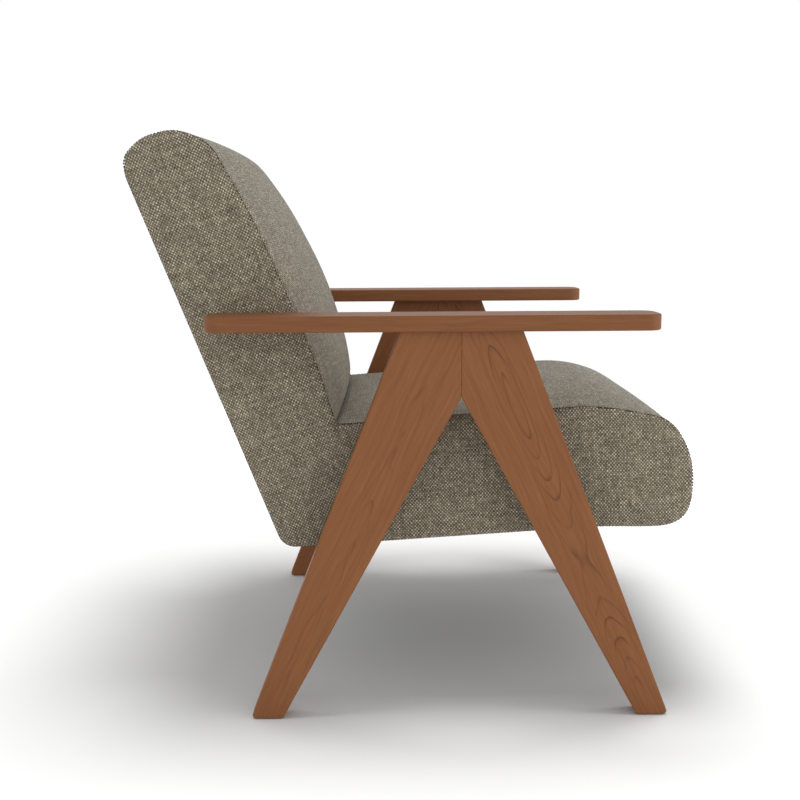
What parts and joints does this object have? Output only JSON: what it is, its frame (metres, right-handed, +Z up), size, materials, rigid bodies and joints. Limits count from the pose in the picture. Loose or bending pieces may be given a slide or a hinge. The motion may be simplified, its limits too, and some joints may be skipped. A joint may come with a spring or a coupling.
{
  "type": "accent chair",
  "caption": "Armchair with a one-piece L-shaped upholstered seat and back held between two flat-plank A-frame sides with wide flat armrests.",
  "frame": {"origin": "centre of the chair's bounding box at floor level", "axes": "+Z up; -Y is where the sitter faces; +X is the sitter's left"},
  "size_m": [0.678, 0.8132, 0.8256],
  "materials": {
    "leg_wood": "satin reddish-brown stained hardwood planks",
    "spacer_wood": "stained hardwood, hidden",
    "frame_timber": "raw timber, plywood and hardboard",
    "steel": "zinc plated",
    "foam": "open-cell foam",
    "cover_tweed": "coarse grey-beige plain-weave tweed over wadding",
    "dust_cloth": "black non-woven cloth",
    "webbing": "elastic webbing and needled felt",
    "glide_nylon": "moulded nylon"
  },
  "bodies": {
    "root": {"arm_dowels": "spacer_wood", "armrest_left": "leg_wood", "armrest_right": "leg_wood", "back_foam": "foam", "back_straps": "webbing", "corner_blocks": "frame_timber", "dust_cover": "dust_cloth", "dust_cover_staples": "steel", "foot_glides": "glide_nylon", "front_seat_rail": "frame_timber", "inside_back_cover": "cover_tweed", "leg_bolt_washers": "steel", "leg_bolts": "steel", "leg_front_left": "leg_wood", "leg_front_right": "leg_wood", "leg_inserts": "steel", "leg_joint_dowels": "spacer_wood", "leg_rear_left": "leg_wood", "leg_rear_right": "leg_wood", "leg_spacers": "spacer_wood", "lower_back_rail": "frame_timber", "outer_back_pad": "foam", "outer_back_panel": "frame_timber", "outside_back_cover": "cover_tweed", "rail_screws": "steel", "rear_seat_rail": "frame_timber", "seat_cover": "cover_tweed", "seat_foam": "foam", "seat_springs": "steel", "side_board_left": "frame_timber", "side_board_right": "frame_timber", "side_cover_left": "cover_tweed", "side_cover_right": "cover_tweed", "side_pad_left": "foam", "side_pad_right": "foam", "spring_clips": "steel", "spring_felt": "webbing", "top_back_rail": "frame_timber"}
  },
  "joints": []
}
